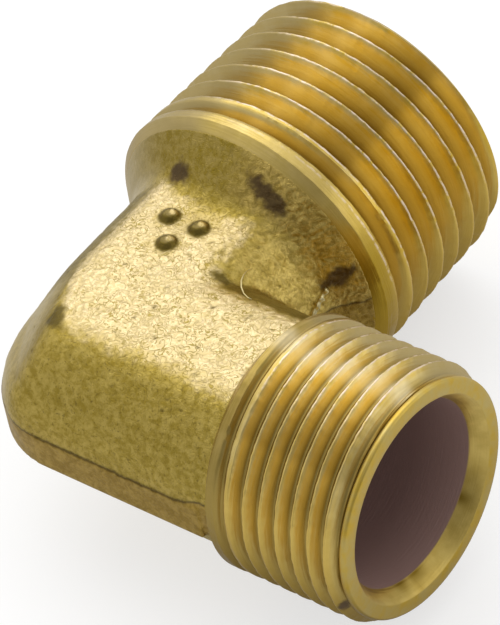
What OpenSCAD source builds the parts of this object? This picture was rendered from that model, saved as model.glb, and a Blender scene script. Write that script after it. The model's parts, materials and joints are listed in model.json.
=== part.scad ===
// Forged brass elbow, 90 degrees, that joins a compression tube end to a tapered pipe end.
// The tube end points along +X and the pipe end along +Y. The origin is where their axes cross,
// the point that plumbers measure an elbow from, and the forging parts in the plane z = 0.
// The real elbow is one forging. Its three regions are the nodes here, split where the machining
// starts: forged_elbow is as forged, and the two thread ends are turned.
// Each thread is a blank at the size of its crests with a helical groove cut in it.

/* [Forging] */
// Diameter of the round leg behind each thread
leg_d = 16; // [15:0.1:17]
// Distance between the flat pads that a wrench holds
across_pads = 14; // [13:0.1:15]
// Distance from the crossing of the axes to the rounded outside corner
corner_r = 8.6; // [8.2:0.05:8.8]
// Angle of the conical face behind the pipe thread, from its axis
pipe_flare_angle = 46; // [35:1:60]
// Radius of the hollow between the leg and that conical face
flare_hollow_r = 2; // [0.5:0.1:3]
// How far the end of that hollow sinks into the conical face
hollow_sink = 0.06; // [0.03:0.01:0.15]
// Angle of the conical face behind the tube thread, from its axis
tube_flare_angle = 54; // [40:1:65]
// How far the trimmed flash stands out from the leg
flash_proud = 0.1; // [0.05:0.01:0.3]
// Height of the trimmed flash above the parting plane
flash_above = 0.4; // [0.2:0.05:1]
// Height of the trimmed flash below the parting plane
flash_below = 2.2; // [0.5:0.1:3]
// Width of the turned neck between the flash and the tube thread
flash_gap = 0.75; // [0.4:0.05:1.5]
// Diameter of each raised dot on the upper pad
dot_d = 1.4; // [0.8:0.05:1.5]
// Height of each raised dot
dot_h = 0.38; // [0.2:0.01:0.5]
// Distance between neighbouring dots
dot_spacing = 2.4; // [1.7:0.05:2.6]
// How far the middle of the three dots lies off the pipe leg's middle
dots_x = -0.2; // [-0.5:0.05:0.5]
// Distance from the tube end's axis to the middle of the three dots
dots_y = 6.85; // [5.8:0.05:7.2]

/* [Waterway] */
// Diameter of the two drillings that meet in the elbow
waterway_d = 10.3; // [9:0.1:11]
// Full angle of the drill's point
drill_point = 118; // [90:1:140]
// How far each drilling's full diameter runs past the crossing of the axes
drill_overrun = 1; // [0:0.1:2]

/* [Tube end] */
// Distance from the crossing of the axes to the nose of the tube end
tube_reach = 23.3; // [22:0.1:27]
// Outside diameter of the copper tube that the socket takes (1/2 in)
tube_d = 12.7; // [12.5:0.05:12.8]
// Gap all round between the tube and its socket
tube_gap = 0.08; // [0.06:0.01:0.2]
// Depth of the tube in the socket
tube_depth = 9.4; // [7:0.1:10]
// Diameter over the crests of the straight thread (11/16-20)
tube_thread_d = 17.4625; // [17:0.05:18]
// Pitch of the straight thread (20 to the inch)
tube_thread_pitch = 1.27; // [1:0.01:1.5]
// Length of the straight thread
tube_thread_length = 10.4; // [9:0.1:11]
// Diameter of the bare nose in front of the straight thread
nose_d = 16.4; // [15.9:0.05:16.8]
// Length of the bare nose in front of the straight thread
nose_length = 0.7; // [0.6:0.05:1.5]
// Width of the relief groove between the straight thread and the nose
relief_width = 0.25; // [0.2:0.05:0.4]
// Depth of that groove below the root of the straight thread
relief_depth = 0.1; // [0.05:0.05:0.3]
// Width of the chamfer round the nose
nose_chamfer = 0.15; // [0.1:0.05:0.4]
// Diameter of the cone's mouth, which the compression sleeve seats in
cone_mouth_d = 14.2; // [13.6:0.1:14.8]
// Full angle of that cone
cone_angle = 60; // [45:1:90]

/* [Pipe end] */
// Distance from the crossing of the axes to the end of the pipe thread
pipe_reach = 26.75; // [25:0.05:30]
// Length from the shoulder to the end of the pipe thread
pipe_thread_length = 14.05; // [12:0.05:15]
// Pitch diameter at the small end (1/2-14 taper pipe thread)
pipe_pitch_d = 19.264; // [19:0.01:19.5]
// Pitch of the taper thread (14 to the inch)
pipe_thread_pitch = 1.8143; // [1.5:0.01:2]
// Length over which the taper thread's diameter grows by one
taper_ratio = 16; // [12:1:20]
// Width of the chamfer at the end of the pipe thread
pipe_chamfer = 0.35; // [0.2:0.05:0.8]
// Distance from the shoulder over which the taper thread reaches its full height
pipe_runout = 0.55; // [0.3:0.05:1.5]
// Width of the chamfer in the mouth of the pipe end
mouth_chamfer = 0.5; // [0.2:0.05:1]

/* [Threads] */
// Width of the flat on the straight thread's crest, as a share of its pitch
straight_crest_flat = 0.125; // [0.05:0.005:0.2]
// Width of the flat on the taper thread's crest, as a share of its pitch
taper_crest_flat = 0.045; // [0.03:0.005:0.1]
// Distance from the rim of the tube end's flare to the start of its groove
tube_groove_start = 0.14; // [0.05:0.01:1]
// Distance from the rim of the pipe end's shoulder to the start of its groove
pipe_groove_start = 0.05; // [0.05:0.01:1]
// Turns over which a thread's groove grows to its full depth behind the shoulder
groove_runout = 1.2; // [0.5:0.1:3]
// Turns over which the straight thread's groove rises out again in front of the nose
nose_runout = 0.5; // [0.3:0.1:1]
// Flat steps in one turn of a groove
groove_steps = 40; // [24:4:60]

/* [Hidden] */
$fn = 96;
forged_colour = [0.74, 0.64, 0.33];
turned_colour = [0.80, 0.66, 0.32];

// Angle between a thread's flank and the plane across its axis
thread_flank = 30;

leg_r = leg_d / 2;
pad_z = across_pads / 2;
waterway_r = waterway_d / 2;
// How far a cutting tool runs past the face that it opens
cut_beyond = waterway_r / 5;
socket_r = tube_d / 2 + tube_gap;

// A sharp vee thread is 0.866 pitch high. Its flats leave 17/24 of that on a straight thread and 12/13 on a taper one.
straight_thread_height = 0.6134 * tube_thread_pitch;
taper_thread_height = 0.8 * pipe_thread_pitch;

tube_crest_r = tube_thread_d / 2;
nose_r = nose_d / 2;
relief_r = tube_crest_r - straight_thread_height - relief_depth;
tube_neck_x = tube_reach - nose_length - tube_thread_length;
tube_thread_end_x = tube_reach - nose_length;
flank_run = (tube_crest_r - relief_r) * tan(thread_flank);

pipe_shoulder_y = pipe_reach - pipe_thread_length;
pipe_small_r = (pipe_pitch_d + taper_thread_height) / 2;
// The thread fades out at the shoulder, so the blank's edge there is cut back by part of its height.
pipe_shoulder_r = pipe_crest_r(pipe_shoulder_y) - 0.37 * taper_thread_height;
// Where the conical face behind the pipe thread would meet the round leg without the hollow
flare_start_y = pipe_shoulder_y - (pipe_shoulder_r - leg_r) / tan(pipe_flare_angle);

// Radius over the taper thread's crests at a distance y from the crossing of the axes
function pipe_crest_r(y) = pipe_small_r + (pipe_reach - y) / (2 * taper_ratio);

// Turns children that stand along +Z to lie along +X or +Y.
module along_x() { rotate([0, 90, 0]) children(); }
module along_y() { rotate([-90, 0, 0]) children(); }

// A solid of revolution about +Z from a profile of [radius, height] points
module turned(profile) { rotate_extrude() polygon(profile); }

// The space between the dies' flat lands, which leave the two pads
module between_pads() {
    size = 4 * pipe_reach;
    translate([-size / 2, -size / 2, -pad_z]) cube([size, size, across_pads]);
}

// Outside corner: where both legs' cylinders overlap, rounded by a ball
module corner() {
    intersection() {
        along_x() translate([0, 0, -leg_d]) cylinder(r = leg_r, h = 2 * leg_d);
        along_y() translate([0, 0, -leg_d]) cylinder(r = leg_r, h = 2 * leg_d);
        sphere(r = corner_r);
    }
}

// Conical face behind a thread, from under the pads to the radius rim_r at the height rim
module flare(angle, rim_r, rim) {
    start_r = 0.85 * pad_z;
    start = rim - (rim_r - start_r) / tan(angle);
    turned([[0, start], [start_r, start], [rim_r, rim], [0, rim]]);
}

// Round pipe leg that widens in a hollow, whose end sinks a little into the conical face
module pipe_leg() {
    start = flare_start_y - flare_hollow_r * tan(pipe_flare_angle / 2) + hollow_sink;
    top_r = leg_r + flare_hollow_r * (1 - cos(pipe_flare_angle));
    top = start + flare_hollow_r * sin(pipe_flare_angle);
    rotate_extrude()
        difference() {
            polygon([[0, 0], [leg_r, 0], [leg_r, start], [top_r, top], [0, top]]);
            translate([leg_r + flare_hollow_r, start]) circle(r = flare_hollow_r);
        }
}

// Flash left round the outside of the legs where the dies met, trimmed flat
module trimmed_flash() {
    face = leg_r + flash_proud;
    corner_round = (face * sqrt(2) - corner_r - flash_proud) / (sqrt(2) - 1);
    tube_side = tube_neck_x - flash_gap;
    middle = corner_round - face;
    translate([0, 0, -flash_below])
        linear_extrude(flash_above + flash_below) {
            translate([middle, -face]) square([tube_side - middle, face]);
            translate([-face, middle]) square([face, flare_start_y - middle]);
            translate([middle, middle]) circle(r = corner_round);
        }
}

// Three raised dots in a triangle on the upper pad of the pipe leg
module dots() {
    ball_r = (pow(dot_d / 2, 2) + pow(dot_h, 2)) / (2 * dot_h);
    translate([dots_x, dots_y, pad_z + dot_h - ball_r])
        for (turn = [30, 150, 270])
            rotate([0, 0, turn])
                translate([dot_spacing / sqrt(3), 0, 0])
                    sphere(r = ball_r);
}

// One drilling along +Z, with its point just past the crossing of the axes
module drilling(length) {
    point = waterway_r / tan(drill_point / 2);
    translate([0, 0, -drill_overrun]) cylinder(r = waterway_r, h = length + drill_overrun);
    translate([0, 0, -drill_overrun - point]) cylinder(r1 = 0, r2 = waterway_r, h = point);
}

// Tube socket along +Z: the drill's seat that stops the tube, the bore, and the cone at its mouth
module socket() {
    seat = tube_reach - tube_depth;
    cone_mouth_r = cone_mouth_d / 2;
    cone_start = tube_reach - (cone_mouth_r - socket_r) / tan(cone_angle / 2);
    turned([
        [0, seat - socket_r / tan(drill_point / 2)],
        [socket_r, seat],
        [socket_r, cone_start],
        [cone_mouth_r + cut_beyond * tan(cone_angle / 2), tube_reach + cut_beyond],
        [0, tube_reach + cut_beyond]
    ]);
}

// Chamfered mouth of the pipe end along +Z
module pipe_mouth() {
    start = pipe_reach - mouth_chamfer - cut_beyond;
    turned([
        [0, start],
        [waterway_r - cut_beyond, start],
        [waterway_r + mouth_chamfer + cut_beyond, pipe_reach + cut_beyond],
        [0, pipe_reach + cut_beyond]
    ]);
}

// Everything that is drilled or bored out of the forging
module waterways() {
    along_x() {
        drilling(tube_reach - tube_depth);
        socket();
    }
    along_y() {
        drilling(pipe_reach + cut_beyond);
        pipe_mouth();
    }
}

module forged_elbow() {
    color(forged_colour)
        difference() {
            union() {
                intersection() {
                    union() {
                        along_x() cylinder(r = leg_r, h = tube_neck_x);
                        along_y() pipe_leg();
                        corner();
                    }
                    between_pads();
                }
                along_x() flare(tube_flare_angle, leg_r, tube_neck_x);
                along_y() flare(pipe_flare_angle, pipe_shoulder_r, pipe_shoulder_y);
                trimmed_flash();
                dots();
            }
            waterways();
        }
}

// Helical groove of a right-hand 60 degree thread round +Z, to cut from a blank. It starts above the blank at
// angle zero and height start, and grows to its full depth over groove_runout turns. Where runout isn't 0,
// it rises out of the blank again over its last runout turns.
// crest_r is the blank's radius at start, and slope is how fast that radius changes with height.
module thread_groove(pitch, depth, crest_flat, start, end, crest_r, slope = 0, runout = 0) {
    above = depth / 12;
    bottom = pitch * (1 - crest_flat) / 2 - depth * tan(thread_flank);
    steps = ceil(groove_steps * (end - start) / pitch);
    sections = [
        for (i = [0:steps])
            let (turn = i / groove_steps,
                crest = crest_r + slope * pitch * turn,
                left = runout == 0 ? 1 : (steps - i) / groove_steps / runout,
                share = min(1, turn / groove_runout, left),
                root = crest - share * depth + (1 - share) * 0.9 * above,
                opening = bottom + (crest + above - root) * tan(thread_flank))
            for (corner = [[root, -bottom], [root, bottom], [crest + above, opening], [crest + above, -opening]])
                [corner[0] * cos(360 * turn), corner[0] * sin(360 * turn), start + pitch * turn + corner[1]]
    ];
    walls = [
        for (i = [0:steps - 1], k = [0:3])
            let (a = 4 * i + k, b = 4 * i + (k + 1) % 4)
            each [[a, b + 4, b], [a, a + 4, b + 4]]
    ];
    polyhedron(sections, concat(walls, [[0, 1, 2, 3], [for (k = [3, 2, 1, 0]) 4 * steps + k]]));
}

module tube_thread_end() {
    full = tube_neck_x + (tube_crest_r - leg_r) / tan(tube_flare_angle);
    color(turned_colour)
        difference() {
            along_x() turned([
                [0, tube_neck_x],
                [leg_r, tube_neck_x],
                [tube_crest_r, full],
                [tube_crest_r, tube_thread_end_x - flank_run],
                [relief_r, tube_thread_end_x],
                [relief_r, tube_thread_end_x + relief_width],
                [nose_r, tube_thread_end_x + relief_width],
                [nose_r, tube_reach - nose_chamfer],
                [nose_r - nose_chamfer, tube_reach],
                [0, tube_reach]
            ]);
            along_x()
                thread_groove(tube_thread_pitch, straight_thread_height, straight_crest_flat,
                    full + tube_groove_start, tube_thread_end_x, tube_crest_r, runout = nose_runout);
            waterways();
        }
}

module pipe_thread_end() {
    end_chamfer_y = pipe_reach - pipe_chamfer;
    groove_start = pipe_shoulder_y + pipe_runout + pipe_groove_start;
    color(turned_colour)
        difference() {
            along_y() turned([
                [0, pipe_shoulder_y],
                [pipe_shoulder_r, pipe_shoulder_y],
                [pipe_crest_r(pipe_shoulder_y + pipe_runout), pipe_shoulder_y + pipe_runout],
                [pipe_crest_r(end_chamfer_y), end_chamfer_y],
                [pipe_small_r - pipe_chamfer, pipe_reach],
                [0, pipe_reach]
            ]);
            along_y()
                thread_groove(pipe_thread_pitch, taper_thread_height, taper_crest_flat,
                    groove_start, pipe_reach + pipe_thread_pitch / 2, pipe_crest_r(groove_start),
                    -1 / (2 * taper_ratio));
            waterways();
        }
}

forged_elbow();
tube_thread_end();
pipe_thread_end();
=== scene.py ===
"""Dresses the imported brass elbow: its forged body, its two cut threads, the floor, the light and the camera.

Shapes are worked out in millimetres and made into meshes in metres, in the part's own frame:
+X out of the tube end, +Y out of the pipe end, +Z out of the upper pad, and z = 0 where the dies met.
"""
import itertools
import json
import math

import bmesh
import bpy
import numpy as np
from numpy.linalg import norm
from mathutils import Matrix, Vector
from mathutils.bvhtree import BVHTree


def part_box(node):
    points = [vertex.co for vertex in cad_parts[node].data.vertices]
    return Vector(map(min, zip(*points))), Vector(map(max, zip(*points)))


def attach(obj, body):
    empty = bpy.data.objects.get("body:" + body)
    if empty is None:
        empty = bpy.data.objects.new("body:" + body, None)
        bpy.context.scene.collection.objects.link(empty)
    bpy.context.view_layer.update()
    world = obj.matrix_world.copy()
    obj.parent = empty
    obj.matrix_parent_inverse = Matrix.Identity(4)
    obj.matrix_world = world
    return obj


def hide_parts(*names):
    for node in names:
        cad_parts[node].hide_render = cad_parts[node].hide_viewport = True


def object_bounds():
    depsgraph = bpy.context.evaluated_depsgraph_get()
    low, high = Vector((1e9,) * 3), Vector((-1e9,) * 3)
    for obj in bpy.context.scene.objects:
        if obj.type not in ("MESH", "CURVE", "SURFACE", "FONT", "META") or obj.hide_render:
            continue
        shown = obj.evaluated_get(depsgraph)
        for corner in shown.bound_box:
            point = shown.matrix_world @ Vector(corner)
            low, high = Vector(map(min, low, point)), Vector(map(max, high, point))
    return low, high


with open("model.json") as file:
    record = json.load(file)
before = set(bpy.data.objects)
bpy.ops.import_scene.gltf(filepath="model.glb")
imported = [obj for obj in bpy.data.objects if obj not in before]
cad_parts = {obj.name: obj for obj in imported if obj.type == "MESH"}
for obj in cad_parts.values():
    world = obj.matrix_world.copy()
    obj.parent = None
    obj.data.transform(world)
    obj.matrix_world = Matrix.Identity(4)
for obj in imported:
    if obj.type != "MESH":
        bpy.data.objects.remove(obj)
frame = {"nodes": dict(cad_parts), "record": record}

MM = 0.001
CAD_BOX = [list(corner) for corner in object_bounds()]

# ------------------------ sizes, in mm
TUBE_BOX = [np.array(corner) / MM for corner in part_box("tube_thread_end")]
PIPE_BOX = [np.array(corner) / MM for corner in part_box("pipe_thread_end")]
MOUNTS = {mount["name"]: mount for mount in frame["record"]["mounts"]}

LEG_R = 8.0
PAD_Z = MOUNTS["upper_pad"]["pos_m"][2] / MM
CORNER_BALL_R = 8.65
DRAFT = 0.15
SINK = 0.06
WATERWAY_R = MOUNTS["pipe_waterway"]["dims"]["r_mm"]
SOCKET_R = MOUNTS["tube_socket"]["dims"]["r_mm"]
HALF_DRILL_POINT = math.radians(59)
DRILL_OVERRUN = 1.0
GROOVE_RUNOUT = 1.2

TUBE_NECK_X = TUBE_BOX[0][0]
TUBE_NOSE_X = TUBE_BOX[1][0]
TUBE_CREST_R = TUBE_BOX[1][1]
TUBE_FLARE = math.radians(54)
TUBE_PITCH = 1.27
TUBE_CREST_AT = 12.555
TUBE_GROOVE_START = 12.871
TUBE_DEPTH = 0.6134 * TUBE_PITCH
TUBE_FLATS = (0.045, 0.083)
TUBE_THREAD_END_X = TUBE_NOSE_X - 0.7
NOSE_R = 8.2
CONE_MOUTH_R = 7.10

PIPE_NECK_Y = PIPE_BOX[0][1]
PIPE_END_Y = PIPE_BOX[1][1]
PIPE_FLARE = math.radians(46)
PIPE_RIM_R = 10.26
PIPE_PITCH = 1.8143
PIPE_CREST_AT = 12.393
PIPE_GROOVE_START = 13.3
PIPE_DEPTH = 0.8 * PIPE_PITCH
PIPE_FLATS = (0.034, 0.022)
PIPE_CREST_R = 10.83
PIPE_TAPER = 1 / 32

FLASH_FACE = LEG_R + 0.1
FLASH_TOP = 0.4
FLASH_RISE = 0.55
FLASH_BOTTOM = -2.2
FLASH_END_X = 11.45
UNDERFILL_NORMAL = np.array((-0.716, -0.354, 0.60))
UNDERFILL_AT = 7.36
DOTS = ((-1.44, 7.54), (-0.11, 5.49), (0.97, 7.54))
DOT_R = 0.68
DOT_TOP_R = 0.42
DOT_H = 0.38
# How far the painted highlight on each dot's top sits from its middle, in mm
DOT_HIGHLIGHT = (0.20, 0.20)

# The curl's course across and up the picture, from its image point
CURL = (
    (0.42, 1.0), (0.1, 0.88), (-0.15, 0.6), (-0.3, 0.2),
    (-0.3, -0.2), (-0.15, -0.6), (0.08, -0.85), (0.36, -1.0),
)

# How fine the shown surfaces are
FORGING_VOXEL = 0.115
TUBE_COLUMNS = 360
PIPE_COLUMNS = 400

# ------------------------ the photograph's frame
PHOTO_W, PHOTO_H = 500, 625
IMAGE_POINTS = {
    "left edge": (2, None),
    "right edge": (498, None),
    "top edge": (None, 1),
    "bottom edge": (None, 622),
    "dot by the outside": (169, 214),
    "dot by the bend": (166, 241),
    "dot by the crotch": (198, 227),
    "pad at the outside corner": (55, 318),
    "end of the flash": (199, 505),
    "crotch": (222, 279),
    "curl of brass": (246, 284),
    "pit in the pad": (154, 307),
    "pit below it": (155, 338),
    "pit by the thread": (213, 307),
    "pit in the side": (162, 411),
    "tip of the crotch flash": (327, 288),
    "stain on the flare": (267, 195),
    "brown spot": (181, 173),
    "purple smear": (338, 277),
    "notch at the thread's start": (345, 605),
}

# Blotches of purple scale, and blotches of painted shade (the shadow in the dent at the pad's outside corner,
# and in the crotch): an image point, a seed, a radius, a stretch and its direction
STAINS = (
    ("stain on the flare", 51, 0.68, 3.4, (0.83, -0.1, -0.55)),
    ("brown spot", 52, 0.95, 1.2, (0, 0, 1)),
    ("purple smear", 53, 0.8, 1.9, (0.55, 0.75, 0.35)),
)
SHADE_BLOTCHES = (
    ("pad at the outside corner", 54, 0.85, 1.3, (0.5, -1, 0)),
    ("crotch", 55, 0.45, 2.5, (1, 0.1, -0.2)),
)

CAMERA_AIM = (4.37, 7.15, 1.30)
CAMERA_DISTANCE = 411.0
CAMERA_AZIMUTH = math.radians(45.287)
CAMERA_ELEVATION = math.radians(43.991)
CAMERA_ROLL = math.radians(-11.858)
CAMERA_LENS = 365.0
CAMERA_SENSOR = 36.0

# ------------------------ the studio's light
# The tent's parts: a direction, the cosines between which a part fades in, and its gain
TENT_BASE = 0.47
FLOOR_FILL = 0.35
TENT = (
    ((0.0, 0.0, 1.0), 0.05, 0.40, 0.19),
    ((-0.51, 0.51, 0.70), 0.3, 0.95, 0.25),
    ((0.51, -0.51, 0.69), 0.70, 0.98, -0.14),
    ((0.70, -0.70, 0.12), 0.36, 0.62, -0.22),
    ((0.80, 0.60, 0.12), 0.86, 0.99, 0.60),
)
FLOOR_HALF = 1.5
FLOOR_GREY = (0.40, 0.40, 0.40)

# ------------------------ colours
PALE_GOLD = (0.95, 0.77, 0.44)
PAD_SHADE = (0.50, 0.38, 0.11)
PAD_DARK = (0.42, 0.31, 0.07)
OLIVE = (0.40, 0.285, 0.042)
LIGHT_OLIVE = (0.60, 0.45, 0.11)
DEEP_OLIVE = (0.16, 0.115, 0.025)
LAND_TAN = (0.33, 0.21, 0.032)
LAND_PALE = (0.50, 0.34, 0.08)
CONE_OLIVE = (0.34, 0.24, 0.030)
CONE_PALE = (0.46, 0.34, 0.09)
WALL_GOLD = (0.78, 0.59, 0.17)
WALL_SHADE = (0.50, 0.36, 0.08)
ROUGH_PALE = (0.72, 0.53, 0.15)
ROUGH_SHADE = (0.44, 0.31, 0.07)
GRAZING_REFLECTION_GREY = (0.71, 0.60, 0.37)
WEST_BROWN = (0.30, 0.20, 0.008)
PURPLE_BROWN = (0.10, 0.062, 0.034)
BORE_SHADE = (0.27, 0.17, 0.15)
CREST_HIGHLIGHT_PINK = (0.97, 0.80, 0.61)
TURNED_PAINTED_LIGHT = (0.95, 0.75, 0.32)
# Painted light: a paler tone for the flanks' low parts, against the shade that light bounced between flanks
# puts there
LOW_FLANK = (0.78, 0.62, 0.25)
# Painted reflection: a dark brown band on the threads
DARK_REFLECTION_BROWN = (0.26, 0.16, 0.015)
HIGHLIGHT_CREAM = (1.0, 0.88, 0.60)
GROOVE_SHADE = (0.12, 0.075, 0.02)
# Painted reflection: tan-grey on the threads
REFLECTED_TAN = (0.50, 0.39, 0.18)
MOUTH_GOLD = (0.64, 0.46, 0.12)
MOUTH_PALE = (0.82, 0.62, 0.19)
LINE_DARK = (0.06, 0.04, 0.02)

# Each turned end's slot, body, pale and shade colours, its face, its blank (two tones, and a darker one on its
# low side, which is painted shade), and how many turning marks it has to the millimetre along each axis
TUBE_BRASS = (
    "turned_brass_tube_end",
    (0.72, 0.48, 0.060), (0.82, 0.57, 0.10), (0.23, 0.14, 0.010), (0.66, 0.51, 0.17),
    ((0.42, 0.30, 0.07), (0.55, 0.40, 0.13), (0.46, 0.33, 0.09)), (9.0, 0.25, 0.25))
PIPE_BRASS = (
    "turned_brass_pipe_end",
    (0.76, 0.50, 0.055), (0.86, 0.60, 0.09), (0.38, 0.23, 0.012), (0.62, 0.43, 0.08),
    ((0.80, 0.60, 0.17), (0.92, 0.70, 0.25), (0.52, 0.34, 0.035)), (0.25, 9.0, 0.25))


def placed(name, data):
    """A new object in the scene."""
    item = bpy.data.objects.new(name, data)
    bpy.context.scene.collection.objects.link(item)
    return item


def camera_axes():
    """The camera's right, up and backward directions."""
    a, e, r = CAMERA_AZIMUTH, CAMERA_ELEVATION, CAMERA_ROLL
    back = Vector((math.sin(a) * math.cos(e), -math.cos(a) * math.cos(e), math.sin(e)))
    level = Vector((math.cos(a), math.sin(a), 0))
    upright = back.cross(level)
    right = level * math.cos(r) + upright * math.sin(r)
    up = upright * math.cos(r) - level * math.sin(r)
    return right, up, back


def make_camera():
    """The photograph's camera."""
    right, up, back = camera_axes()
    data = bpy.data.cameras.new("camera")
    data.lens = CAMERA_LENS
    data.sensor_width = CAMERA_SENSOR
    data.sensor_fit = "AUTO"
    camera = placed("camera", data)
    place = (Vector(CAMERA_AIM) + back * CAMERA_DISTANCE) * MM
    turn = Matrix((right, up, back)).transposed()
    camera.matrix_world = Matrix.Translation(place) @ turn.to_4x4()
    bpy.context.scene.camera = camera


def on_surface(tree, point):
    """Where an image point's ray meets the surfaces in tree, in mm. A miss takes the place nearest the ray."""
    camera = bpy.context.scene.camera
    data = camera.data
    long_side = max(PHOTO_W, PHOTO_H)
    aim = Vector((
        point[0] - PHOTO_W / 2 + data.shift_x * long_side,
        PHOTO_H / 2 - point[1] + data.shift_y * long_side,
        -long_side * data.lens / data.sensor_width,
    ))
    start = camera.matrix_world.translation / MM
    direction = (camera.matrix_world.to_3x3() @ aim).normalized()
    hit = tree.ray_cast(start, direction)[0]
    if hit is None:
        steps = [start + direction * (CAMERA_DISTANCE + s) for s in range(-30, 31)]
        hit = min((tree.find_nearest(p) for p in steps), key=lambda found: found[3])[0]
    return np.array(hit)


def marked(weights):
    """Takes a thing's weights as an array, and does nothing else with them."""
    weights = np.asarray(weights, dtype=float)


def in_photo(points):
    """Image places, in the photograph's frame, of points in mm."""
    camera = bpy.context.scene.camera
    data = camera.data
    long_side = max(PHOTO_W, PHOTO_H)
    turn = np.array(camera.matrix_world.to_3x3())
    seen = (np.atleast_2d(points) * MM - np.array(camera.matrix_world.translation)) @ turn
    scale = long_side * data.lens / data.sensor_width / -seen[:, 2]
    x = PHOTO_W / 2 - data.shift_x * long_side + scale * seen[:, 0]
    y = PHOTO_H / 2 + data.shift_y * long_side - scale * seen[:, 1]
    return np.stack([x, y], 1)


# ------------------------ noise and blends
GRADIENTS = np.random.default_rng(7).normal(size=(4096, 3))
GRADIENTS /= norm(GRADIENTS, axis=1)[:, None]


def noise(points, period, seed):
    """Smooth gradient noise from about -1 to 1, with bumps one period wide."""
    place = points / period + 37.7 * seed
    cell = np.floor(place).astype(np.int64)
    part = place - cell
    fade = part**3 * (part * (part * 6 - 15) + 10)
    total = np.zeros(len(points))
    for corner in itertools.product((0, 1), repeat=3):
        at = cell + corner
        mixed = at[:, 0] * 73856093 ^ at[:, 1] * 19349663 ^ at[:, 2] * 83492791 ^ seed * 2654435761
        slope = GRADIENTS[(mixed ^ (mixed >> 13)) & 4095]
        weight = np.prod(np.where(corner, fade, 1 - fade), axis=1)
        total += weight * np.einsum("ij,ij->i", slope, part - corner)
    return 1.6 * total


def worms(points, period, seed):
    """Wiggly ridges, 1 along their tops and about -1 between them."""
    shove = np.stack([noise(points, 2 * period, seed + i) for i in (1, 2, 3)], 1)
    return 1 - 4 * np.abs(noise(points + period * shove, period, seed))


def step(value, low, high):
    """0 below low, 1 above high, and smooth between."""
    t = np.clip((value - low) / (high - low), 0, 1)
    return t * t * (3 - 2 * t)


def soft_max(a, b, width):
    """The larger of two values, rounded off where they come within a width of each other."""
    t = np.clip(0.5 + 0.5 * (a - b) / width, 0, 1)
    return b + (a - b) * t + width * t * (1 - t)


def soft_min(a, b, width):
    """The smaller of two values, rounded off in the same way."""
    return -soft_max(-a, -b, width)


# ------------------------ meshes
def shown_piece(name, places, faces, masks):
    """A shown piece made from places in mm, with each mask as a vertex attribute. It rides the body."""
    mesh = bpy.data.meshes.new(name)
    mesh.from_pydata((places * MM).tolist(), [], faces)
    mesh.validate()
    for title, values in masks.items():
        layer = mesh.attributes.new(title, "FLOAT", "POINT")
        layer.data.foreach_set("value", np.asarray(values, dtype=np.float32))
    mesh.shade_smooth()
    piece = placed(name, mesh)
    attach(piece, "root")
    return piece


def made_piece(name, places, faces, masks, node):
    """A shown piece that stands for a CAD node."""
    piece = shown_piece(name, places, faces, masks)
    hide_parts(node)
    return piece


def remeshed(node, voxel):
    """A CAD node's surface in even quads: vertex places in mm, and the faces."""
    mesh = frame["nodes"][node].data.copy()
    mesh.transform(Matrix.Scale(1 / MM, 4))
    whole = bmesh.new()
    whole.from_mesh(mesh)
    bmesh.ops.remove_doubles(whole, verts=whole.verts, dist=0.001)
    whole.to_mesh(mesh)
    whole.free()
    scratch = placed("scratch", mesh)
    remesh = scratch.modifiers.new("remesh", "REMESH")
    remesh.mode = "VOXEL"
    remesh.voxel_size = voxel
    made = scratch.evaluated_get(bpy.context.evaluated_depsgraph_get()).to_mesh()
    places = np.empty(3 * len(made.vertices))
    made.vertices.foreach_get("co", places)
    faces = [tuple(face.vertices) for face in made.polygons]
    bpy.data.objects.remove(scratch)
    bpy.data.meshes.remove(mesh)
    return places.reshape(-1, 3), faces


def edges_of(faces):
    """The two ends of every face's edges."""
    starts, ends = [], []
    for size in sorted({len(face) for face in faces}):
        ring = np.array([face for face in faces if len(face) == size])
        starts += [ring.ravel(), np.roll(ring, -1, 1).ravel()]
        ends += [np.roll(ring, -1, 1).ravel(), ring.ravel()]
    return np.concatenate(starts), np.concatenate(ends)


def evened(places, edges, rounds, share=0.5):
    """Moves each vertex towards the middle of its neighbours, which evens the quads out."""
    start, end = edges
    count = np.maximum(np.bincount(start, minlength=len(places)), 1)[:, None]
    for _ in range(rounds):
        middle = np.stack([np.bincount(start, places[end, i], len(places)) for i in range(3)], 1)
        places = places + share * (middle / count - places)
    return places


# ------------------------ the forging
def outline_distance(x, y, face, ball):
    """How far a point lies outside the elbow's outline as seen from above, along its outer sides."""
    bend = (face * math.sqrt(2) - ball) / (math.sqrt(2) - 1)
    middle = bend - face
    corner = np.hypot(x - middle, y - middle) - bend
    return np.where((x < middle) & (y < middle), corner, np.maximum(
        np.where(x < middle, -x - face, -1e3), np.where(y < middle, -y - face, -1e3)))


def flash_distance(points):
    """How far each point lies outside the flash's outline as seen from above, on its outer sides."""
    x, y = points.T[:2]
    flash = outline_distance(x, y, FLASH_FACE, CORNER_BALL_R + 0.1)
    inside = np.maximum(x - 8.2, y - 8.2) * (np.minimum(x, y) > 0)
    return np.maximum(flash, np.where((x > 0) & (y > 0), 1.0, inside))


def flash_edge(points):
    """Height of the flash's torn upper edge."""
    flat = points * (1, 1, 0)
    torn = 0.07 * noise(flat, 0.7, 21) + 0.06 * noise(flat, 0.28, 22)
    return FLASH_TOP + FLASH_RISE * step(points[:, 0], 9.6, FLASH_END_X) + torn


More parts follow.
